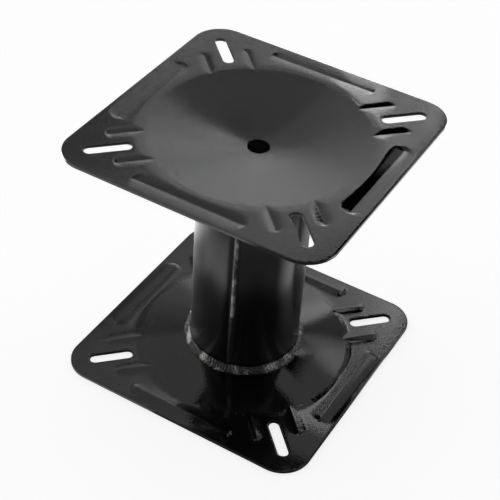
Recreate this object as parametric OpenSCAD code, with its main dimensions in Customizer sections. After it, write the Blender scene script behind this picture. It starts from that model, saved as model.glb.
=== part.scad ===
// Fixed seat pedestal: two pressed steel plates welded to a short tube.
// Millimetres, +Z up. The origin is on the floor at the middle of the base plate, on the tube's
// axis. The slots of both plates lie on the X and Y axes, so the plates' corners point along them.

/* [Column] */
// Height from the floor to the top plate's rim face
overall_h = 174; // [120:1:320]
// Outside diameter of the column tube
tube_d = 73; // [60:0.5:84]
// Wall of the column tube
tube_wall = 2; // [1.5:0.1:4]
// Direction of the tube's seam, in degrees from +X
seam_angle = -120.5; // [-180:0.5:180]
// Width of the seam bead
seam_w = 2.2; // [1:0.1:4]
// Height of the seam bead above the tube
seam_h = 0.4; // [0.2:0.05:0.8]

/* [Plates] */
// Side of each square plate
plate_side = 178; // [160:1:230]
// Sheet thickness of the plates
plate_t = 2; // [1.5:0.1:4]
// Radius of the plates' corners
corner_r = 20; // [10:0.5:30]
// Diameter of the centre hole
centre_hole_d = 14.5; // [6:0.5:30]

/* [Dish] */
// Width of the rim at the middle of a side, from the plate's edge to the foot of the dish's cone
rim_w = 16.7; // [13:0.1:22]
// Slope of the dish's cone, in degrees
dish_slope = 9.8; // [6:0.1:12]
// Radius of the roll between rim and cone, on the outer face
dish_roll_r = 38; // [20:1:60]

/* [Slots] */
// End-to-end length of a slot
slot_l = 29.7; // [16:0.1:34]
// Width of a slot
slot_w = 7.6; // [5:0.1:9]
// Metal between a slot's outer end and the tip of the plate's corner
slot_margin = 12.2; // [8:0.1:16]

/* [Ribs] */
// Depth of the ribs' crease below the plate's face
rib_depth = 0.7; // [0.3:0.05:1.5]
// Half width of a short rib beside a slot
short_rib_half_w = 5; // [3:0.1:5.5]
// Distance of a short rib's crease from the slot's middle line
short_rib_offset = 14; // [12:0.1:16]
// Distance of a short rib's outer end from the tip of the plate's corner, along the slot
short_rib_margin = 27.5; // [20:0.5:34]
// Half width of a long rib beside an edge
long_rib_half_w = 6; // [4:0.1:8]
// Distance of a long rib's crease from the plate's edge
long_rib_inset = 10.4; // [9:0.1:12]
// Length of a long rib
long_rib_l = 74; // [30:1:80]
// Run over which a rib's end rises to the plate's face
rib_end_run = 2; // [0.5:0.1:5]

/* [Welds] */
// Leg of the fillet welds at the tube's ends
weld_leg = 4.6; // [3:0.1:7]
// Height of the lumps and ripples in the welds
weld_lump = 0.45; // [0:0.05:0.8]

/* [Hidden] */
$fn = 96;

COAT = "#1d1d1e";
tube_r = tube_d / 2;
tube_bore_r = tube_r - tube_wall;
// Distances from a plate's centre: the tip of its rounded corner, and what is measured in from there
corner_tip = plate_side / sqrt(2) - corner_r * (sqrt(2) - 1);
slot_centre_r = corner_tip - slot_margin - slot_l / 2;
short_rib_end = corner_tip - short_rib_margin;
// Radius at which the dish's cone meets the rim's plane
dish_r = plate_side / 2 - rim_w;
// How far a cutter runs past what it cuts
past = 1;
// Roll of the dish: where the roll starts on the rim and ends on the cone
roll_start = dish_r + dish_roll_r * tan(dish_slope / 2);
roll_end = roll_start - dish_roll_r * sin(dish_slope);
// Height on the cone's face that lies `lift` off the punched face, at the radius r
function cone_z(r, lift) = (dish_r - r) * tan(dish_slope) + lift / cos(dish_slope);
// The tube's ends rest on the cones along their inner edges
seat_z = cone_z(tube_bore_r, plate_t);
tube_l = overall_h - 2 * seat_z;
// A short rib starts deep under the cone, so that it fades out where the two faces meet
short_rib_start = dish_r / 2;
// Flat facets round a weld, and points on its bulging face
WELD_SECTIONS = 120;
WELD_FACE_POINTS = 4;
// The facets stand round the true circle, so that they cut into neither the tube nor the cone
WELD_STAND_OFF = 1 / cos(180 / WELD_SECTIONS);
// Lumps along a weld as waves: share of weld_lump, waves in a full turn, phase in degrees
WELD_WAVES = [[0.5, 5, 40], [0.3, 13, 0], [0.2, 31, 70]];
// Bulge of a weld's face out of the flat, in all
weld_bulge = 0.55 * weld_lump;
// The lumps of the two welds differ by a turn
BASE_WELD_TURN = 0;
TOP_WELD_TURN = 137;

// The plate's outline, with rounded corners
module plate_outline() {
    straight = plate_side - 2 * corner_r;
    square([plate_side, straight], center = true);
    square([straight, plate_side], center = true);
    for (x = [-1, 1], y = [-1, 1])
        translate([x * straight / 2, y * straight / 2]) circle(r = corner_r);
}

// Solid under the dish's face, `lift` off the punched face, down to the height `low`
module dish_form(lift, low) {
    roll_r = dish_roll_r - lift;
    rotate_extrude()
        difference() {
            polygon([
                [0, low],
                [roll_start, low],
                [roll_start, lift],
                [roll_start - roll_r * sin(dish_slope), dish_roll_r - roll_r * cos(dish_slope)],
                [0, cone_z(0, lift)]
            ]);
            translate([roll_start, dish_roll_r]) circle(r = roll_r);
        }
}

// Solid V rib along X from x0 to x1, its crease rib_depth above `lift`, down to the height `low`.
// Its ends slope down over rib_end_run.
module rib_form(x0, x1, half_w, lift, low) {
    crease = lift + rib_depth;
    intersection() {
        translate([x0 - past, 0, 0]) rotate([90, 0, 90]) linear_extrude(x1 - x0 + 2 * past)
            polygon([[-half_w, low], [half_w, low], [half_w, lift], [0, crease], [-half_w, lift]]);
        translate([0, half_w + past, 0]) rotate([90, 0, 0]) linear_extrude(2 * (half_w + past))
            polygon([[x0, low], [x1, low], [x1, lift], [x1 - rib_end_run, crease],
                [x0 + rib_end_run, crease], [x0, lift]]);
    }
}

// All that the punch presses into a plate, `lift` off the punched face
module punched_form(lift, low) {
    dish_form(lift, low);
    for (corner = [45:90:315], side = [-1, 1])
        rotate(corner) translate([0, side * short_rib_offset, 0])
            rib_form(short_rib_start, short_rib_end, short_rib_half_w, lift, low);
    for (edge = [0:90:270])
        rotate(edge) translate([0, plate_side / 2 - long_rib_inset, 0])
            rib_form(-long_rib_l / 2, long_rib_l / 2, long_rib_half_w, lift, low);
}

// Slots on the diagonals of the plate
module slots() {
    half = (slot_l - slot_w) / 2;
    for (corner = [45:90:315])
        rotate(corner) translate([slot_centre_r, 0, -past]) linear_extrude(plate_t + 2 * past) {
            square([2 * half, slot_w], center = true);
            for (end = [-half, half])
                translate([end, 0]) circle(d = slot_w);
        }
}

// Pressed plate with its outer face on z = 0 and its dish towards +Z, edges along X and Y
module pressed_plate() {
    difference() {
        union() {
            linear_extrude(plate_t) plate_outline();
            punched_form(plate_t, plate_t / 2);
        }
        punched_form(0, -past);
        slots();
        cylinder(d = centre_hole_d, h = cone_z(0, plate_t) + past);
    }
}

// Turns what stands on the base plate over, to hang under the top plate
module at_top() {
    translate([0, 0, overall_h]) mirror([0, 0, 1]) children();
}

module base_plate() {
    color(COAT) rotate(45) pressed_plate();
}

module top_plate() {
    color(COAT) at_top() rotate(45) pressed_plate();
}

// Seam-welded tube, its bead a low round ridge that runs from one fillet weld to the other
module column_tube() {
    bead_r = (pow(seam_w / 2, 2) + pow(seam_h, 2)) / (2 * seam_h);
    color(COAT) translate([0, 0, seat_z]) difference() {
        union() {
            cylinder(r = tube_r, h = tube_l);
            rotate(seam_angle) translate([tube_r + seam_h - bead_r, 0, weld_leg])
                cylinder(r = bead_r, h = tube_l - 2 * weld_leg);
        }
        translate([0, 0, -past]) cylinder(r = tube_bore_r, h = tube_l + 2 * past);
    }
}

// What the lumps add to the weld's leg at the angle a
function weld_swell(a) = weld_lump * [for (w = WELD_WAVES) w[0] * sin(w[1] * a + w[2])] * [1, 1, 1];

// Section of a fillet weld at the angle a, as [radius, height]: its root under the tube's end, then
// up the tube, over the bulging face and back along the cone
function weld_section(a) =
    let (
        leg = weld_leg + weld_swell(a),
        top = [tube_r, seat_z + leg],
        toe = [tube_r + leg, cone_z(tube_r + leg, plate_t)]
    )
    concat(
        [[tube_bore_r, seat_z], [tube_r, seat_z], top],
        [for (i = [1:WELD_FACE_POINTS])
            let (k = i / (WELD_FACE_POINTS + 1))
            top + k * (toe - top) + weld_bulge * sin(180 * k) * [1, 1]],
        [toe]
    );

// Fillet weld round the foot of the tube, its lumps turned by `turn`
module weld_ring(turn) {
    step = 360 / WELD_SECTIONS;
    sections = [for (i = [0:WELD_SECTIONS - 1]) weld_section(i * step + turn)];
    n = len(sections[0]);
    points = [for (i = [0:WELD_SECTIONS - 1], p = sections[i])
        let (r = p.x * WELD_STAND_OFF) [r * cos(i * step), r * sin(i * step), p.y]];
    faces = [for (i = [0:WELD_SECTIONS - 1], j = [0:n - 1])
        let (i2 = (i + 1) % WELD_SECTIONS, j2 = (j + 1) % n)
        [i * n + j, i * n + j2, i2 * n + j2, i2 * n + j]];
    polyhedron(points, faces);
}

module base_weld() {
    color(COAT) weld_ring(BASE_WELD_TURN);
}

module top_weld() {
    color(COAT) at_top() weld_ring(TOP_WELD_TURN);
}

top_plate();
base_plate();
column_tube();
top_weld();
base_weld();
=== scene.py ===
import math

import bmesh
import bpy
from mathutils import Matrix, Vector, noise


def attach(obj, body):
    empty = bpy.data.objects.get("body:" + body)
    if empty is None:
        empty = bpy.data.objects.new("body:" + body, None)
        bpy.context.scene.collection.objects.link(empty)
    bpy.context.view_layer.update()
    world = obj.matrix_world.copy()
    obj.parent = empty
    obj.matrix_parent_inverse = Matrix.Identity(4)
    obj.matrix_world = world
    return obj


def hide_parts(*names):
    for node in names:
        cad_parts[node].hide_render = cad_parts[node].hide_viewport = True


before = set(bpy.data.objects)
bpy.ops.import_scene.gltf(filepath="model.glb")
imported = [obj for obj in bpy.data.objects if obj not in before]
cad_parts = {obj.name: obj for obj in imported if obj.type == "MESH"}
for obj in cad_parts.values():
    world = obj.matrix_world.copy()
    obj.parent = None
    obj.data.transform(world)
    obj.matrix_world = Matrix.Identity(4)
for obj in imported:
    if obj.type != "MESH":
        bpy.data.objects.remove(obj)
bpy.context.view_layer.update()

# Fixed seat pedestal: two pressed steel plates welded to a short tube, all under one coat of
# gloss black. Shapes are worked out in millimetres and scaled to metres at the end.
MM = 0.001

# Column
OVERALL_H = 174.0
TUBE_R = 36.5
TUBE_WALL = 2.0
SEAM_ANGLE = math.radians(-120.5)
SEAM_W = 2.8
SEAM_H = 0.4

# Plates
PLATE_HALF = 89.0
PLATE_T = 2.0
CORNER_R = 20.0
HOLE_R = 7.25
# The sheet starts as a grid of this many squares a side. Steps round a corner and round half of a
# slot's end or of the hole
SHEET_SQUARES = 148
CORNER_STEPS = 12
SLOT_STEPS = 8
HOLE_STEPS = 14
# Points this near a cutting plane lie on it, and points this near each other become one
ON_PLANE = 1e-4
MERGE_WITHIN = 0.12
# How far past a rib or a hole its lines may be cut
SCORED_PAST = 2
# Punched edges: the sheet rolls over on the pressed face, is sheared, then breaks away to the
# other face. Width and height of the rollover, and how much wider the hole is where it ends.
ROLLOVER_W = 0.5
ROLLOVER_H = 0.35
BREAKAWAY = 0.35
EASED_R = 0.25
# The blank's outline is cut more cleanly than the holes
OUTLINE_SHARE = 0.5

# Dish: a cone below the rim, its foot rolled, its tip a little flattened
DISH_R = 72.7
DISH_ANGLE = math.radians(9.8)
DISH_SLOPE = math.tan(DISH_ANGLE)
DISH_ROLL_R = 32.0
DISH_TIP = 10.0
ROLL_START = DISH_R + DISH_ROLL_R * math.tan(DISH_ANGLE / 2)
ROLL_END = ROLL_START - DISH_ROLL_R * math.sin(DISH_ANGLE)

# Slots on the plate's diagonals. SLOT_HALF runs from a slot's middle to the centre of its round end.
SLOT_R = 3.8
SLOT_HALF = 14.6 - SLOT_R
SLOT_CENTRE = 90.8

# Pressed V ribs: sharp along the crease, fading out to both sides and pinched off at the ends
CREASE_ROUND = 0.25
# A rib closes within this run at its crease, and more gently the further out on its walls
PINCH_RUN = 1.4
PINCH_SPREAD = 0.8
# Rounding where a rib runs into the dish
FOOT_ROUND = 0.06
# Nearer the middle than this, a short rib is lost in the dish
SHORT_RIB_SHOWS = 66
# Each rib's crease runs from start to end at the distance offset from the plate's middle line
SHORT_RIB = {"offset": 14.0, "start": 30.0, "end": 90.3, "half_w": 7.5, "depth": 0.75}
LONG_RIB = {"offset": 78.6, "start": -37.2, "end": 37.2, "half_w": 10.0, "depth": 0.95}

# The tube's ends stand on the cones along their inner edges
SEAT_Z = (DISH_R - TUBE_R + TUBE_WALL) * DISH_SLOPE + PLATE_T * math.hypot(1, DISH_SLOPE)
TUBE_STEPS = 180

# Fillet welds at the tube's ends: leg, width of the ledge at the tube, bulge of the face, and how
# far it reaches into the tube and the plate
WELD_LEG = 3.8
WELD_LEDGE = 0.8
WELD_BULGE = 0.45
WELD_SINK = 0.1
# Steps across the face and round the weld
WELD_FACE_STEPS = 14
WELD_STEPS = 720
# Lumps: height, waves round the weld as (share, waves in a turn, shift), share of loose noise and
# how many of its lumps fit in the tube's radius
WELD_LUMP = 0.8
WELD_WAVES = ((0.5, 5, 1), (0.3, 13, 2))
WELD_LOOSE = 0.5
LOOSE_GRAIN = 9
# Ripples of the run: height, pitch, how they bow across the face and stray along it
WELD_RIPPLE = 0.16
WELD_PITCH = 1.9
RIPPLE_BOW = 2.2
RIPPLE_STRAY = 0.9
STRAY_GRAIN = 14
# Pits: depth, and how many fit in the tube's radius and in the width of the face
WELD_PIT = 0.45
PIT_GRAIN = 45
PIT_GRAIN_FACE = 5
# The lumps of the two welds differ by a turn
WELD_TURNS = {"base_weld": 0.7, "top_weld": 2.9}

# The seam's bead runs from a millimetre inside one weld to the same in the other, and fades out over
# SEAM_FADE. Its ripples have a pitch and bow back to the sides.
SEAM_LOW = SEAT_Z + WELD_LEG - 1
SEAM_HIGH = OVERALL_H - SEAM_LOW
SEAM_FADE = 3
SEAM_PITCH = 1.1
SEAM_BOW = 0.5
# Share of the bead's height in its ripples and in its lumps, lumps in a millimetre across and along,
# and where in the noise they are taken from
SEAM_RIPPLE = 0.2
SEAM_ROUGH = 1.1
SEAM_GRAIN = 1.9
SEAM_GRAIN_Z = 1.7
SEAM_NOISE = 5
# The tube's faces within this many steps of the seam's middle are made finer: their size along and
# across, and the lines cut to each side of the middle
SEAM_SIDE = 1.5
SEAM_STEP_Z = 0.45
SEAM_STEP = 0.2
SEAM_LINES = 7
# Above this height the bead carries painted glints, bright metal flecks, where it stands out more than
# SEAM_CLEAR
SEAM_FLECKED = 55.0
SEAM_CLEAR = 0.12


def smooth_max(a, b, k):
    """The larger of a and b, rounded where they cross."""
    return (a + b + math.hypot(a - b, k)) / 2


def dish_depth(r):
    """Depth of the dish below the rim at the radius r."""
    if r >= ROLL_START:
        return 0.0
    if r > ROLL_END:
        return DISH_ROLL_R - math.sqrt(DISH_ROLL_R ** 2 - (ROLL_START - r) ** 2)
    return (DISH_R - math.hypot(r, DISH_TIP)) * DISH_SLOPE


def plate_top(r):
    """Height of the base plate's upper side at the radius r, where it is a cone."""
    return (DISH_R - r) * DISH_SLOPE + PLATE_T * math.hypot(1, DISH_SLOPE)


def rib_depth(along, across, rib):
    """Depth of one rib at a point given along its run and across it from the middle line."""
    off_crease = math.hypot(across - rib["offset"], CREASE_ROUND)
    to_end = min(along - rib["start"], rib["end"] - along)
    closed = to_end / (PINCH_RUN + PINCH_SPREAD * off_crease)
    closed = max(0, min(1, closed))
    wall = max(0, 1 - off_crease / rib["half_w"]) ** 2
    return rib["depth"] * wall * closed * closed * (3 - 2 * closed)


def pressed_depth(x, y):
    """Depth of the pressed face at a point of a plate whose edges lie along X and Y."""
    x, y = abs(x), abs(y)
    depth = rib_depth((x + y) * math.sqrt(0.5), abs(x - y) * math.sqrt(0.5), SHORT_RIB)
    depth = max(depth, rib_depth(y, x, LONG_RIB), rib_depth(x, y, LONG_RIB))
    return smooth_max(depth, dish_depth(math.hypot(x, y)), FOOT_ROUND)


def away_from_core(p):
    """Core point, radius and share of the full rollover of the outline or the hole nearest to p.

    The share is negative for a hole, whose rollover runs towards the core point.
    """
    box = PLATE_HALF - CORNER_R
    core = Vector((max(-box, min(box, p.x)), max(-box, min(box, p.y))))
    best = (abs((p - core).length - CORNER_R), core, CORNER_R, OUTLINE_SHARE)
    diagonal = Vector((math.copysign(1, p.x), math.copysign(1, p.y))).normalized()
    run = max(-SLOT_HALF, min(SLOT_HALF, p.dot(diagonal) - SLOT_CENTRE))
    for core, radius in ((diagonal * (SLOT_CENTRE + run), SLOT_R), (Vector((0, 0)), HOLE_R)):
        best = min(best, (abs((p - core).length - radius), core, radius, -1), key=lambda b: b[0])
    return best[1:]


def region(bm, centre, direction, half_length, half_width):
    """Faces, edges and vertices of the mesh within a turned rectangle of the plan."""
    across = Vector((-direction.y, direction.x))
    faces = []
    for face in bm.faces:
        offset = face.calc_center_median().xy - centre
        if abs(offset.dot(direction)) < half_length and abs(offset.dot(across)) < half_width:
            faces.append(face)
    return around(faces)


def around(faces):
    """The faces with their edges and vertices, as the bisect operator takes them.

    They are kept in order, because the cuts depend on it and each run has to give the same mesh.
    """
    edges = dict.fromkeys(e for f in faces for e in f.edges)
    verts = dict.fromkeys(v for f in faces for v in f.verts)
    return [*verts, *edges, *faces]


def score(bm, geom, point, normal):
    """Cuts a straight line of edges through the geometry and returns all of it."""
    cut = bmesh.ops.bisect_plane(bm, geom=geom, dist=ON_PLANE, plane_co=(*point, 0),
                                 plane_no=(*normal, 0))
    return cut["geom"]


def score_rib(bm, centre, direction, half_length, half_width):
    """Cuts the crease of a rib, a line close to either side of it, and lines at both ends."""
    across = Vector((-direction.y, direction.x))
    geom = region(bm, centre, direction, half_length + SCORED_PAST, half_width + SCORED_PAST)
    for step in (-CREASE_ROUND, 0, CREASE_ROUND):
        geom = score(bm, geom, centre + across * step, across)
    for end in (-half_length, half_length):
        for step in (0, PINCH_RUN / 3, PINCH_RUN * 2 / 3, PINCH_RUN):
            geom = score(bm, geom, centre + direction * (end - math.copysign(step, end)), direction)


def punch(bm, centre, direction, half_length, radius, steps):
    """Cuts a slot with round ends, or a round hole, out of the sheet."""
    outline = []
    for side in (1, -1):
        for i in range(steps + 1):
            turn = Matrix.Rotation(math.pi * (i / steps - 0.5), 2)
            normal = turn @ direction * side
            outline.append((centre + direction * half_length * side + normal * radius, normal))
    geom = region(bm, centre, direction, half_length + radius + SCORED_PAST, radius + SCORED_PAST)
    for point, normal in outline:
        cut = score(bm, geom, point, normal)
        inside = [f for f in cut if isinstance(f, bmesh.types.BMFace)
                  and (f.calc_center_median().xy - point).dot(normal) < 0]
        geom = around(inside)
    bmesh.ops.delete(bm, geom=inside, context="FACES")


def punch_corner(bm, sx, sy):
    """Rounds one corner of the sheet."""
    centre = Vector((sx, sy)) * (PLATE_HALF - CORNER_R)
    radius = CORNER_R - ROLLOVER_W * OUTLINE_SHARE
    geom = region(bm, centre + Vector((sx, sy)) * CORNER_R / 2, Vector((1, 0)),
                  (CORNER_R + SCORED_PAST) / 2, (CORNER_R + SCORED_PAST) / 2)
    for i in range(1, CORNER_STEPS):
        a = math.pi / 2 * i / CORNER_STEPS
        normal = Vector((sx * math.cos(a), sy * math.sin(a)))
        cut = bmesh.ops.bisect_plane(bm, geom=geom, dist=ON_PLANE, clear_outer=True,
                                     plane_co=(*(centre + normal * radius), 0),
                                     plane_no=(*normal, 0))
        geom = cut["geom"]


def punched_sheet():
    """Sheet with rounded corners, slots and centre hole, all a rollover's width short of metal."""
    bm = bmesh.new()
    bmesh.ops.create_grid(bm, x_segments=SHEET_SQUARES, y_segments=SHEET_SQUARES,
                          size=PLATE_HALF - ROLLOVER_W * OUTLINE_SHARE)
    for quarter in range(4):
        turn = Matrix.Rotation(math.pi / 2 * quarter, 2)
        edge = turn @ Vector((1, 0))
        score_rib(bm, edge * LONG_RIB["offset"], turn @ Vector((0, 1)), LONG_RIB["end"],
                  LONG_RIB["half_w"])
        corner = turn @ Vector((1, 1)).normalized()
        beside = Vector((-corner.y, corner.x))
        middle = (SHORT_RIB_SHOWS + SHORT_RIB["end"]) / 2
        for side in (-1, 1):
            score_rib(bm, corner * middle + beside * side * SHORT_RIB["offset"], corner,
                      SHORT_RIB["end"] - middle, SHORT_RIB["half_w"])
    for sx in (-1, 1):
        for sy in (-1, 1):
            diagonal = Vector((sx, sy)).normalized()
            punch(bm, diagonal * SLOT_CENTRE, diagonal, SLOT_HALF, SLOT_R + ROLLOVER_W, SLOT_STEPS)
            punch_corner(bm, sx, sy)
    punch(bm, Vector((0, 0)), Vector((1, 0)), 0, HOLE_R + ROLLOVER_W, HOLE_STEPS)
    bmesh.ops.remove_doubles(bm, verts=bm.verts, dist=MERGE_WITHIN)
    for v in bm.verts:
        if v.is_boundary:
            core, radius, share = away_from_core(v.co.xy)
            v.co.xy = core + (v.co.xy - core).normalized() * (radius - share * ROLLOVER_W)
    return bm


def through_sheet(x, y):
    """Step from a point of the pressed face through the sheet, square to its slope."""
    step = 0.4
    rise_x = pressed_depth(x + step, y) - pressed_depth(x - step, y)
    rise_y = pressed_depth(x, y + step) - pressed_depth(x, y - step)
    return Vector((-rise_x, -rise_y, 2 * step)).normalized() * PLATE_T


def thicken(bm):
    """Gives the pressed face its second side and rounds the punched edges between the two."""
    depth = bm.verts.layers.float.new("depth")
    through = bm.verts.layers.float_vector.new("through")
    for v in bm.verts:
        v[through] = through_sheet(v.co.x, v.co.y)
    second = bmesh.ops.extrude_face_region(bm, geom=bm.faces[:], use_keep_orig=True)
    for v in [v for v in second["geom"] if isinstance(v, bmesh.types.BMVert)]:
        v.co += v[through]
        v[depth] = 1
    upright = [e for e in bm.edges if e.verts[0][depth] != e.verts[1][depth]]
    wall = {v for e in upright for v in e.verts}
    for v in bm.verts:
        if v not in wall:
            v[through] = Vector()
    # Rings of a full wall as (way out from the pressed face's edge, way through the sheet)
    quarter = [math.pi / 6 * i for i in range(4)]
    rings = [((ROLLOVER_W + BREAKAWAY) * math.sin(a), ROLLOVER_H * (1 - math.cos(a)) / PLATE_T)
             for a in quarter]
    rings.append((ROLLOVER_W + BREAKAWAY, 0.5))
    rings += [(ROLLOVER_W - EASED_R * (1 - math.cos(a)), 1 - EASED_R * (1 - math.sin(a)) / PLATE_T)
              for a in quarter]
    last = len(rings) - 1
    bmesh.ops.subdivide_edges(bm, edges=upright, cuts=last - 1, use_grid_fill=True)
    for v in [v for v in bm.verts if v[through].length > PLATE_T / 2]:
        ring = round(v[depth] * last)
        out, way = rings[ring]
        core, radius, share = away_from_core(v.co.xy)
        if share > 0:
            out = min(out, ROLLOVER_W) * share
            way *= share if ring < len(quarter) else 1
        else:
            out = -out
        v.co += v[through] * (way - v[depth])
        v.co.xy += (v.co.xy - core).normalized() * out
    bm.verts.layers.float.remove(depth)
    bm.verts.layers.float_vector.remove(bm.verts.layers.float_vector["through"])


def new_object(bm, name, material):
    """Turns the mesh into an object of the scene."""
    mesh = bpy.data.meshes.new(name)
    bm.to_mesh(mesh)
    bm.free()
    mesh.materials.append(material)
    thing = bpy.data.objects.new(name, mesh)
    bpy.context.scene.collection.objects.link(thing)
    return thing


def finish_piece(bm, name, node, material):
    """Turns the mesh into a piece that stands for a node of the frame."""
    bmesh.ops.recalc_face_normals(bm, faces=bm.faces)
    bmesh.ops.scale(bm, vec=(MM, MM, MM), verts=bm.verts)
    piece = new_object(bm, name, material)
    for polygon in piece.data.polygons:
        polygon.use_smooth = True
    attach(piece, "root")
    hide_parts(node)
    return piece


def turn_over(bm):
    """Mirrors what stands at the column's foot to its top."""
    bmesh.ops.scale(bm, vec=(1, 1, -1), verts=bm.verts)
    bmesh.ops.translate(bm, vec=(0, 0, OVERALL_H), verts=bm.verts)


def pressed_plate(at_top):
    """One pressed plate, standing on the floor or turned over at the top of the column."""
    bm = punched_sheet()
    for v in bm.verts:
        v.co.z = pressed_depth(v.co.x, v.co.y)
    thicken(bm)
    bmesh.ops.rotate(bm, matrix=Matrix.Rotation(math.pi / 4, 3, "Z"), verts=bm.verts)
    if at_top:
        turn_over(bm)
    return bm


def noise_at(*place):
    """Smooth noise from about -1 to 1 that is the same in each run."""
    return noise.noise(Vector(place))


def seam_bead(across, z):
    """Height of the seam's bead above the tube, with the ripples of a fast machine weld."""
    if abs(across) >= SEAM_W / 2:
        return 0.0
    crown = 1 - (2 * across / SEAM_W) ** 2
    to_end = min(z - SEAM_LOW, SEAM_HIGH - z)
    ripple = math.sin(2 * math.pi * (z + SEAM_BOW * abs(across)) / SEAM_PITCH)
    lumps = noise_at(across * SEAM_GRAIN, z * SEAM_GRAIN_Z, SEAM_NOISE)
    rough = SEAM_RIPPLE * ripple + SEAM_ROUGH * lumps
    return SEAM_H * crown * (1 + rough) * max(0, min(1, to_end / SEAM_FADE))


def column_tube():
    """Seam-welded tube: a ring spun round the axis, its seam raised out of the finer faces."""
    bm = bmesh.new()
    bore = TUBE_R - TUBE_WALL
    low, high = SEAT_Z, OVERALL_H - SEAT_Z
    ring = [bm.verts.new((r, 0, z)) for r, z in
            ((TUBE_R, low), (TUBE_R, high), (bore, high), (bore, low))]
    for i in range(4):
        bm.edges.new((ring[i - 1], ring[i]))
    step = 2 * math.pi / TUBE_STEPS
    bmesh.ops.rotate(bm, matrix=Matrix.Rotation(-step * SEAM_SIDE, 3, "Z"), verts=bm.verts)
    bmesh.ops.spin(bm, geom=bm.verts[:] + bm.edges[:], axis=(0, 0, 1), cent=(0, 0, 0),
                   angle=2 * math.pi, steps=TUBE_STEPS, use_merge=True)

    def beside_seam(v):
        """Whether a point is on the tube's outside within SEAM_SIDE steps of the seam's middle."""
        off_middle = abs(math.atan2(v.co.y, v.co.x))
        return v.co.xy.length > TUBE_R - 0.1 and off_middle < step * (SEAM_SIDE + 0.1)

    faces = [f for f in bm.faces if all(beside_seam(v) for v in f.verts)]
    upright = dict.fromkeys(e for f in faces for e in f.edges
                            if abs(e.verts[0].co.z - e.verts[1].co.z) > 1)
    bmesh.ops.subdivide_edges(bm, edges=[*upright], cuts=int((high - low) / SEAM_STEP_Z),
                              use_grid_fill=True)
    faces = [f for f in bm.faces if all(beside_seam(v) for v in f.verts)]
    geom = around(faces)
    for i in range(-SEAM_LINES, SEAM_LINES + 1):
        geom = score(bm, geom, (0, i * SEAM_STEP), (0, 1))
    for v in bm.verts:
        if beside_seam(v):
            arm = v.co.xy.normalized()
            v.co.xy = arm * (TUBE_R + seam_bead(v.co.y, v.co.z))
    bmesh.ops.rotate(bm, matrix=Matrix.Rotation(SEAM_ANGLE, 3, "Z"), verts=bm.verts)
    return bm


def weld(turn):
    """Fillet weld round the foot of the tube: hand-laid, so its leg swells and its face ripples."""
    bm = bmesh.new()
    place = bm.verts.layers.float.new("place")
    inside = TUBE_R - WELD_SINK
    top = Vector((inside, SEAT_Z + WELD_LEG))
    toe_r = TUBE_R + WELD_LEG
    toe = Vector((toe_r, plate_top(toe_r) - WELD_SINK))
    section = [(Vector((TUBE_R - TUBE_WALL, SEAT_Z)), -1), (Vector((inside, SEAT_Z)), -1),
               (top + Vector((0, WELD_SINK / 2)), 0)]
    ledge = top + Vector((WELD_LEDGE, -WELD_SINK))
    for i in range(WELD_FACE_STEPS + 1):
        k = i / WELD_FACE_STEPS
        bulge = WELD_BULGE * math.sin(math.pi * k)
        section.append((ledge.lerp(toe, k) + Vector((bulge, bulge)), k))
    ring = []
    for point, k in section:
        v = bm.verts.new((point.x, 0, point.y))
        v[place] = k
        ring.append(v)
    for i in range(len(ring)):
        bm.edges.new((ring[i - 1], ring[i]))
    bmesh.ops.spin(bm, geom=bm.verts[:] + bm.edges[:], axis=(0, 0, 1), cent=(0, 0, 0),
                   angle=2 * math.pi, steps=WELD_STEPS, use_merge=True)
    for v in bm.verts:
        k = v[place]
        if k < 0:
            continue
        a = math.atan2(v.co.y, v.co.x)
        arm = Vector((math.cos(a), math.sin(a)))
        swell = sum(share * math.sin(waves * a + shift * turn) for share, waves, shift in WELD_WAVES)
        swell += WELD_LOOSE * noise_at(arm.x * LOOSE_GRAIN, arm.y * LOOSE_GRAIN, turn)
        grow = WELD_LUMP * swell
        stray = noise_at(arm.x * STRAY_GRAIN, arm.y * STRAY_GRAIN, turn + 3)
        run = a * TUBE_R + RIPPLE_STRAY * stray
        ripple = math.sin(2 * math.pi * (run + RIPPLE_BOW * (k - 0.5) ** 2) / WELD_PITCH)
        pits = noise_at(arm.x * PIT_GRAIN, arm.y * PIT_GRAIN, PIT_GRAIN_FACE * k + turn)
        face = math.sin(math.pi * k) ** 0.5 if 0 < k < 1 else 0
        out = face * (WELD_RIPPLE * ripple + WELD_PIT * pits)
        r = v.co.xy.length
        r += grow * (r - inside) / WELD_LEG + out
        v.co.z += grow * (v.co.z - plate_top(r)) / WELD_LEG + out
        if k == 1:
            v.co.z = plate_top(r) - WELD_SINK
        v.co.xy = arm * r
    return bm


def srgb(code):
    """Linear colour of an sRGB hex value."""
    channels = [int(code[i:i + 2], 16) / 255 for i in (1, 3, 5)]
    linear = [c / 12.92 if c <= 0.04045 else ((c + 0.055) / 1.055) ** 2.4 for c in channels]
    return (*linear, 1)


def node(tree, kind, settings=None, links=None):
    """Adds a node. Settings name its fields or, by name or number, its sockets' values."""
    new = tree.nodes.new(kind)
    for key, value in (settings or {}).items():
        if isinstance(key, str) and hasattr(new, key):
            setattr(new, key, value)
        else:
            new.inputs[key].default_value = value
    for key, output in (links or {}).items():
        tree.links.new(output, new.inputs[key])
    return new


def cleared_tree(owner):
    """Empty node tree of a material or a world."""
    owner.use_nodes = True
    owner.node_tree.nodes.clear()
    return owner.node_tree


# Gloss black paint. Its mirror is a little stronger than that of real paint, at an IOR of about 1.5.
BLACK = "#050505"
COAT_IOR = 1.72
GLOSS_ROUGHNESS = 0.04
# On the tube: roughness, how far the sheen is drawn out, and its turn to lie along the tube
STREAK_ROUGHNESS = 0.25
STREAK = 0.95
STREAK_TURN = 0.25
# On the weld beads: roughness of the paint, and colour and roughness of the painted glints, bright metal
# flecks
BEAD_ROUGHNESS = 0.06
PAINTED_GLINT = "#c4c6c2"
PAINTED_GLINT_ROUGHNESS = 0.4


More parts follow.
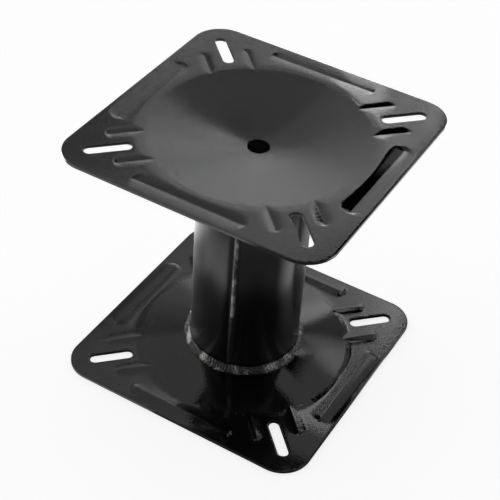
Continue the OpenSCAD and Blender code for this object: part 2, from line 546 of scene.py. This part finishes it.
def gloss_black_coat(name, peel_mm, peel_depth_mm, streaked=False):
    """Gloss black stoved paint over steel: near-black and mirror-like, with a fine orange peel.

    Streaked paint has a softer sheen, which is drawn out along the tube.
    """
    material = bpy.data.materials.new(name)
    tree = cleared_tree(material)
    place = node(tree, "ShaderNodeTexCoord")
    peel = node(tree, "ShaderNodeTexNoise", {"Scale": 1 / (peel_mm * MM), "Detail": 2.0},
                {"Vector": place.outputs["Object"]})
    bump = node(tree, "ShaderNodeBump", {"Distance": peel_depth_mm * MM, "Strength": 1.0},
                {"Height": peel.outputs[0]})
    coat = node(tree, "ShaderNodeBsdfPrincipled",
                {"Base Color": srgb(BLACK), "Roughness": GLOSS_ROUGHNESS, "IOR": COAT_IOR},
                {"Normal": bump.outputs[0]})
    node(tree, "ShaderNodeOutputMaterial", None, {"Surface": coat.outputs[0]})
    if streaked:
        ring = node(tree, "ShaderNodeTangent", {"direction_type": "RADIAL", "axis": "Z"})
        tree.links.new(ring.outputs[0], coat.inputs["Tangent"])
        coat.inputs["Roughness"].default_value = STREAK_ROUGHNESS
        coat.inputs["Anisotropic"].default_value = STREAK
        coat.inputs["Anisotropic Rotation"].default_value = STREAK_TURN
    return material


def coat_with_painted_glints(name, peel_depth_mm, fleck_mm, patch_mm, low, high):
    """The same paint over a weld bead: glossy, with painted glints, bright metal flecks in patches.

    Flecks and patches are two noises. Where their sum passes from low to high, the painted glint shows as
    bright metal.
    """
    material = gloss_black_coat(name, peel_mm=1.0, peel_depth_mm=peel_depth_mm)
    tree = material.node_tree
    coat = tree.nodes["Principled BSDF"]
    place = node(tree, "ShaderNodeTexCoord")
    fleck = node(tree, "ShaderNodeTexNoise", {"Scale": 1 / (fleck_mm * MM), "Detail": 1.0},
                 {"Vector": place.outputs["Object"]})
    patch = node(tree, "ShaderNodeTexNoise", {"Scale": 1 / (patch_mm * MM), "Detail": 0.0},
                 {"Vector": place.outputs["Object"]})
    both = node(tree, "ShaderNodeMath", {"operation": "ADD"}, {0: fleck.outputs[0], 1: patch.outputs[0]})
    glint_share = node(tree, "ShaderNodeMapRange", {"From Min": low, "From Max": high},
                {"Value": both.outputs[0]})
    colour = node(tree, "ShaderNodeMix", {"data_type": "RGBA", 6: srgb(BLACK), 7: srgb(PAINTED_GLINT)},
                  {0: glint_share.outputs[0]})
    rough = node(tree, "ShaderNodeMapRange", {"To Min": BEAD_ROUGHNESS, "To Max": PAINTED_GLINT_ROUGHNESS},
                 {"Value": glint_share.outputs[0]})
    tree.links.new(colour.outputs[2], coat.inputs["Base Color"])
    tree.links.new(glint_share.outputs[0], coat.inputs["Metallic"])
    tree.links.new(rough.outputs[0], coat.inputs["Roughness"])
    return material


plate_coat = gloss_black_coat("gloss_black_coat_plate", peel_mm=1.3, peel_depth_mm=0.035)
tube_coat = gloss_black_coat("gloss_black_coat_tube", peel_mm=1.6, peel_depth_mm=0.02, streaked=True)
# Weld and seam coats carry painted glints: bright metal flecks in patches
weld_coat = coat_with_painted_glints("gloss_black_coat_weld", peel_depth_mm=0.1, fleck_mm=0.6, patch_mm=7.0,
                         low=1.08, high=1.25)
seam_coat = coat_with_painted_glints("gloss_black_coat_seam", peel_depth_mm=0.08, fleck_mm=0.55, patch_mm=8.0,
                         low=0.9, high=1.12)

for name, at_top in (("base_plate", False), ("top_plate", True)):
    finish_piece(pressed_plate(at_top), "pressed_" + name, name, plate_coat)
tube = finish_piece(column_tube(), "seam_welded_tube", "column_tube", tube_coat)
# The seam's raised faces above SEAM_FLECKED take the coat with painted glints
tube.data.materials.append(seam_coat)
for polygon in tube.data.polygons:
    stands_out = polygon.center.xy.length > (TUBE_R + SEAM_CLEAR) * MM
    if stands_out and polygon.center.z > SEAM_FLECKED * MM:
        polygon.material_index = 1
for name, turn in WELD_TURNS.items():
    bm = weld(turn)
    if name == "top_weld":
        turn_over(bm)
    finish_piece(bm, "laid_" + name, name, weld_coat)

# Camera: where the photograph was taken from, and the way it faces in plan
camera_data = bpy.data.cameras.new("camera")
camera_data.lens = 91.913
camera_data.sensor_width = 36
camera = bpy.data.objects.new("camera", camera_data)
camera.matrix_world = Matrix((
    (0.9675, 0.1181, -0.2238, -0.1833),
    (-0.2460, 0.6472, -0.7215, -0.5896),
    (0.0596, 0.7530, 0.6553, 0.6169),
    (0, 0, 0, 1)))
bpy.context.scene.collection.objects.link(camera)
bpy.context.scene.camera = camera
CAMERA_HEADING = math.radians(17.3)

# Levels, leans and soft edges of the cards, an edge as where it starts and ends. A card's X and Y
# are measured in units of its distance, from the point of the floor that is straight ahead.
KEY_LIGHT = 1.602
KEY_TILT = 0.728
KEY_LEFT = (-0.456, 1.16)
KEY_LOW = (0.662, 0.799)
KEY_HIGH = (1.108, 1.173)
STRIP_LIGHT = 4.0
STRIP_LEAN = 0.197
STRIP_LEFT = (-0.055, 0.276)
STRIP_LOW = (0.82, 0.893)
STRIP_HIGH = (1.3, 1.36)
NET_THROUGH = 0.517
NET_LEAN = 0.12
NET_RIGHT = (-0.318, -0.27)
NET_HIGH = (0.979, 0.999)
CLOTH_LEAN = 0.08
CLOTH_BEND = 0.98
CLOTH_LEAN_ABOVE = 0.35
CLOTH_LEFT = (0.776, 0.792)
THIN_THROUGH = 0.16
THIN_LEAN = 0.45
THIN_LEFT = (-0.01, 0.05)
DIM_LIGHT = 0.38
DIM_TILT = 0.2
DIM_LEFT = (0.79, 0.86)
DIM_LOW = (0.95, 1.1)
DIM_HIGH = (2.06, 2.1)
BRIGHT_LIGHT = 1.3
BRIGHT_LEFT = (0.34, 0.42)
BRIGHT_RIGHT = (0.76, 0.82)
BRIGHT_RIGHT_ABOVE = (0.58, 0.65)
BRIGHT_STEP = (1.44, 1.5)
BRIGHT_LOW = (1.16, 1.34)
BRIGHT_HIGH = (1.8, 1.95)
# Frame of grey light between the plates
BETWEEN_LIGHT = 0.4
BETWEEN_HALF = 0.086
BETWEEN_Z = 0.16
# Paper: half of its side, the colour that lights the object and the one that the camera sees, and
# what is added to the latter
FLOOR_HALF = 4
PAPER = "#f2f2f2"
PAPER_SEEN = "#bcbcbc"
PAPER_FILL = 0.8
# Painted light and shade on the paper, which only the gloss mirrors: headings in degrees from +Y towards
# +X, places in metres
LEFT_LIGHT = 0.95
LEFT_START = (-127, -124)
LEFT_DARKER = (-90, -66)
LEFT_SHARE = 0.4
LEFT_END = (100, 105)
RIGHT_LIGHT = 1.5
RIGHT_START = (109, 113)
RIGHT_END = (153, 116)
FAR_RIGHT_X = (0.17, 0.21)
FAR_RIGHT_Y = (-0.08, -0.04)
BEHIND_LIGHT = 4.0
BEHIND_Y = (0.11, 0.17)
FRONT_LIGHT = 0.14
UNDER_SHARE = 0.05
UNDER_EDGE = (0.115, 0.127)
# Room: levels low down and overhead, and share of them behind the camera
ROOM_LOW = 1.475
ROOM_HIGH = 0.478
ROOM_BACK = 0.2
ROOM_RISE = (0.329, 0.715)
ROOM_FRONT = (-0.3, 0.25)


def only_mirrored(piece):
    """Makes an object a part of the studio that only reflections see."""
    piece.visible_camera = False
    piece.visible_diffuse = False
    piece.visible_shadow = False
    piece.visible_transmission = False


def fade(tree, *edges, product=None):
    """Product of soft edges, and of a value if one is given.

    An edge is a value, where the edge starts and ends on it, and the levels before and after the
    edge, which are 0 and 1 where they aren't given.
    """
    for value, start, end, *levels in edges:
        before, after = levels or (0.0, 1.0)
        edge = node(tree, "ShaderNodeMapRange",
                    {"interpolation_type": "SMOOTHSTEP", "From Min": start, "From Max": end,
                     "To Min": before, "To Max": after}, {"Value": value}).outputs[0]
        if product is None:
            product = edge
        else:
            product = node(tree, "ShaderNodeMath", {"operation": "MULTIPLY"},
                           {0: product, 1: edge}).outputs[0]
    return product


def card_material(name):
    """Material of a card with its node tree and the card's own X and Y."""
    material = bpy.data.materials.new(name)
    tree = cleared_tree(material)
    place = node(tree, "ShaderNodeTexCoord")
    spot = node(tree, "ShaderNodeSeparateXYZ", None, {0: place.outputs["Object"]})
    return material, tree, spot.outputs[0], spot.outputs[1]


def hang_card(material, distance, half_width, low, high, light=None, through=None):
    """Hangs an upright card across the camera's heading, from the height low to high.

    It gives off light, and lets the share through of what is behind it, or all if none is given.
    """
    tree = material.node_tree
    surface = node(tree, "ShaderNodeBsdfTransparent")
    if through is not None:
        tree.links.new(through, surface.inputs["Color"])
    if light is not None:
        glow = node(tree, "ShaderNodeEmission", None, {"Strength": light})
        surface = node(tree, "ShaderNodeAddShader", None,
                       {0: glow.outputs[0], 1: surface.outputs[0]})
    node(tree, "ShaderNodeOutputMaterial", None, {"Surface": surface.outputs[0]})
    bm = bmesh.new()
    bmesh.ops.create_grid(bm, x_segments=1, y_segments=1, size=1)
    bmesh.ops.scale(bm, vec=(half_width, (high - low) / 2, 1), verts=bm.verts)
    bmesh.ops.translate(bm, vec=(0, (high + low) / 2, 0), verts=bm.verts)
    piece = new_object(bm, material.name, material)
    ahead = Vector((math.sin(CAMERA_HEADING), math.cos(CAMERA_HEADING), 0))
    aside = Vector((ahead.y, -ahead.x, 0))
    axes = Matrix((aside, Vector((0, 0, 1)), -ahead)).transposed().to_4x4()
    piece.matrix_world = Matrix.Translation(ahead * distance) @ axes @ Matrix.Scale(distance, 4)
    only_mirrored(piece)


# Key light: a broad soft card behind the object, brighter towards the right, its top edge sloping,
# with a brighter strip at its upper right
material, tree, u, v = card_material("key_card")
slope = node(tree, "ShaderNodeMath", {"operation": "MULTIPLY_ADD", 1: KEY_TILT}, {0: u, 2: v}).outputs[0]
key = fade(tree, (u, *KEY_LEFT), (slope, *KEY_LOW), (slope, *KEY_HIGH, KEY_LIGHT, 0.0))
right = node(tree, "ShaderNodeMath", {"operation": "MULTIPLY_ADD", 1: -STRIP_LEAN},
             {0: v, 2: u}).outputs[0]
strip = fade(tree, (right, *STRIP_LEFT), (v, *STRIP_LOW), (v, *STRIP_HIGH, STRIP_LIGHT, 0.0))
both = node(tree, "ShaderNodeMath", {"operation": "ADD"}, {0: key, 1: strip}).outputs[0]
hang_card(material, distance=1.397, half_width=1.2, low=0, high=1.6, light=both)

# Grey net on the left, low down
material, tree, u, v = card_material("net_flag")
right = node(tree, "ShaderNodeMath", {"operation": "MULTIPLY_ADD", 1: -NET_LEAN},
             {0: v, 2: u}).outputs[0]
through = node(tree, "ShaderNodeMath", {"operation": "MAXIMUM"},
               {0: fade(tree, (right, *NET_RIGHT, NET_THROUGH, 1.0)),
                1: fade(tree, (v, *NET_HIGH, NET_THROUGH, 1.0))}).outputs[0]
hang_card(material, distance=1.085, half_width=1.5, low=0.1, high=1.7, through=through)

# Black cloth on the right, nearer the object. Its edge leans inwards, more so above CLOTH_BEND. To
# the right of THIN_LEFT it is thin.
material, tree, u, v = card_material("black_flag")
high = node(tree, "ShaderNodeMath", {"operation": "MAXIMUM", 1: CLOTH_BEND}, {0: v}).outputs[0]
right = node(tree, "ShaderNodeMath", {"operation": "MULTIPLY_ADD", 1: CLOTH_LEAN},
             {0: v, 2: u}).outputs[0]
right = node(tree, "ShaderNodeMath", {"operation": "MULTIPLY_ADD", 1: CLOTH_LEAN_ABOVE},
             {0: high, 2: right}).outputs[0]
thin = node(tree, "ShaderNodeMath", {"operation": "MULTIPLY_ADD", 1: -THIN_LEAN},
            {0: v, 2: u}).outputs[0]
through = node(tree, "ShaderNodeMath", {"operation": "MAXIMUM"},
               {0: fade(tree, (right, *CLOTH_LEFT, 1.0, 0.0)),
                1: fade(tree, (thin, *THIN_LEFT, 0.0, THIN_THROUGH))}).outputs[0]
hang_card(material, distance=0.55, half_width=2.2, low=0.3, high=2.4, through=through)

# Two soft panels close behind the object. The dish of the base plate mirrors the dim one, its rim
# on the right the bright one, which is narrower above BRIGHT_STEP.
material, tree, u, v = card_material("dim_panel")
slope = node(tree, "ShaderNodeMath", {"operation": "MULTIPLY_ADD", 1: -DIM_TILT}, {0: u, 2: v}).outputs[0]
dim = fade(tree, (u, *DIM_LEFT), (v, *DIM_LOW), (slope, *DIM_HIGH, DIM_LIGHT, 0.0))
hang_card(material, distance=0.145, half_width=1.6, low=0.8, high=2.6, light=dim)
material, tree, u, v = card_material("bright_panel")
narrow = node(tree, "ShaderNodeMath", {"operation": "MAXIMUM"},
              {0: fade(tree, (u, *BRIGHT_RIGHT_ABOVE, 1.0, 0.0)),
               1: fade(tree, (v, *BRIGHT_STEP, 1.0, 0.0))}).outputs[0]
bright = fade(tree, (u, *BRIGHT_LEFT), (u, *BRIGHT_RIGHT, 1.0, 0.0), (v, *BRIGHT_LOW),
              (v, *BRIGHT_HIGH, BRIGHT_LIGHT, 0.0), product=narrow)
hang_card(material, distance=0.14, half_width=1.0, low=0.8, high=2.0, light=bright)

# Grey light between the plates, which stands for the paper's many reflections there. Its middle is
# open, where the tube passes and the centre hole looks through.
bm = bmesh.new()
bmesh.ops.create_grid(bm, x_segments=5, y_segments=5, size=BETWEEN_HALF)
inner = [f for f in bm.faces if max(map(abs, f.calc_center_median().xy)) < BETWEEN_HALF / 2]
bmesh.ops.delete(bm, geom=inner, context="FACES")
bmesh.ops.rotate(bm, matrix=Matrix.Rotation(math.pi / 4, 3, "Z"), verts=bm.verts)
bmesh.ops.translate(bm, vec=(0, 0, BETWEEN_Z), verts=bm.verts)
grey = bpy.data.materials.new("grey_between")
tree = cleared_tree(grey)
glow = node(tree, "ShaderNodeEmission", {"Strength": BETWEEN_LIGHT})
node(tree, "ShaderNodeOutputMaterial", None, {"Surface": glow.outputs[0]})
only_mirrored(new_object(bm, "grey_between", grey))

# Floor: white paper
paper = bpy.data.materials.new("white_paper_painted_reflection")
tree = cleared_tree(paper)
rays = node(tree, "ShaderNodeLightPath")
matt = node(tree, "ShaderNodeBsdfDiffuse", {"Color": srgb(PAPER)})
matt_seen = node(tree, "ShaderNodeBsdfDiffuse", {"Color": srgb(PAPER_SEEN)})
fill = node(tree, "ShaderNodeEmission", {"Strength": PAPER_FILL})
seen = node(tree, "ShaderNodeAddShader", None, {0: matt_seen.outputs[0], 1: fill.outputs[0]})
# The gloss mirrors painted light and shade on the paper: painted pools of light on the left, on the right
# and behind, and painted shadow in front of the object and under it
place = node(tree, "ShaderNodeTexCoord")
spot = node(tree, "ShaderNodeSeparateXYZ", None, {0: place.outputs["Object"]})
x, y = spot.outputs[0], spot.outputs[1]
heading = node(tree, "ShaderNodeMath", {"operation": "ARCTAN2"}, {0: x, 1: y}).outputs[0]
left = fade(tree, (heading, *map(math.radians, LEFT_START), 0.0, LEFT_LIGHT),
            (heading, *map(math.radians, LEFT_DARKER), 1.0, LEFT_SHARE),
            (heading, *map(math.radians, LEFT_END), 1.0, 0.0))
right = fade(tree, (heading, *map(math.radians, RIGHT_END), 0.0, RIGHT_LIGHT),
             (heading, *map(math.radians, RIGHT_START)))
far_right = fade(tree, (x, *FAR_RIGHT_X), (y, *FAR_RIGHT_Y))
behind = fade(tree, (y, *BEHIND_Y, 0.0, BEHIND_LIGHT))
lit = node(tree, "ShaderNodeMath", {"operation": "ADD"}, {0: left, 1: right}).outputs[0]
for other in (far_right, behind):
    lit = node(tree, "ShaderNodeMath", {"operation": "MAXIMUM"}, {0: lit, 1: other}).outputs[0]
lit = node(tree, "ShaderNodeMath", {"operation": "MAXIMUM", 1: FRONT_LIGHT}, {0: lit}).outputs[0]
across = node(tree, "ShaderNodeMath", {"operation": "ABSOLUTE"}, {0: x}).outputs[0]
along = node(tree, "ShaderNodeMath", {"operation": "ABSOLUTE"}, {0: y}).outputs[0]
reach = node(tree, "ShaderNodeMath", {"operation": "ADD"}, {0: across, 1: along}).outputs[0]
painted_light_and_shadow = fade(tree, (reach, *UNDER_EDGE, UNDER_SHARE, 1.0), product=lit)
# Painted reflection: this glow is the painted light and shadow that only gloss rays see
sheen = node(tree, "ShaderNodeEmission", None, {"Strength": painted_light_and_shadow})
unseen = node(tree, "ShaderNodeMixShader", None,
              {0: rays.outputs["Is Glossy Ray"], 1: matt.outputs[0], 2: sheen.outputs[0]})
whole = node(tree, "ShaderNodeMixShader", None,
             {0: rays.outputs["Is Camera Ray"], 1: unseen.outputs[0], 2: seen.outputs[0]})
node(tree, "ShaderNodeOutputMaterial", None, {"Surface": whole.outputs[0]})
bm = bmesh.new()
bmesh.ops.create_grid(bm, x_segments=1, y_segments=1, size=FLOOR_HALF)
floor = new_object(bm, "floor", paper)

# Room: bright low down, darker overhead and behind the camera, and white where the camera sees it
world = bpy.data.worlds.new("studio")
bpy.context.scene.world = world
tree = cleared_tree(world)
rays = node(tree, "ShaderNodeLightPath")
place = node(tree, "ShaderNodeTexCoord")
way = node(tree, "ShaderNodeSeparateXYZ", None, {0: place.outputs["Generated"]})
level = fade(tree, (way.outputs[2], *ROOM_RISE, ROOM_LOW, ROOM_HIGH),
             (way.outputs[1], *ROOM_FRONT, ROOM_BACK, 1.0))
soft = node(tree, "ShaderNodeBackground", None, {"Strength": level})
white = node(tree, "ShaderNodeBackground", {"Color": srgb("#ffffff"), "Strength": 1.0})
mix = node(tree, "ShaderNodeMixShader", None,
           {0: rays.outputs["Is Camera Ray"], 1: soft.outputs[0], 2: white.outputs[0]})
node(tree, "ShaderNodeOutputWorld", None, {"Surface": mix.outputs[0]})

bpy.context.scene.view_settings.view_transform = "Standard"
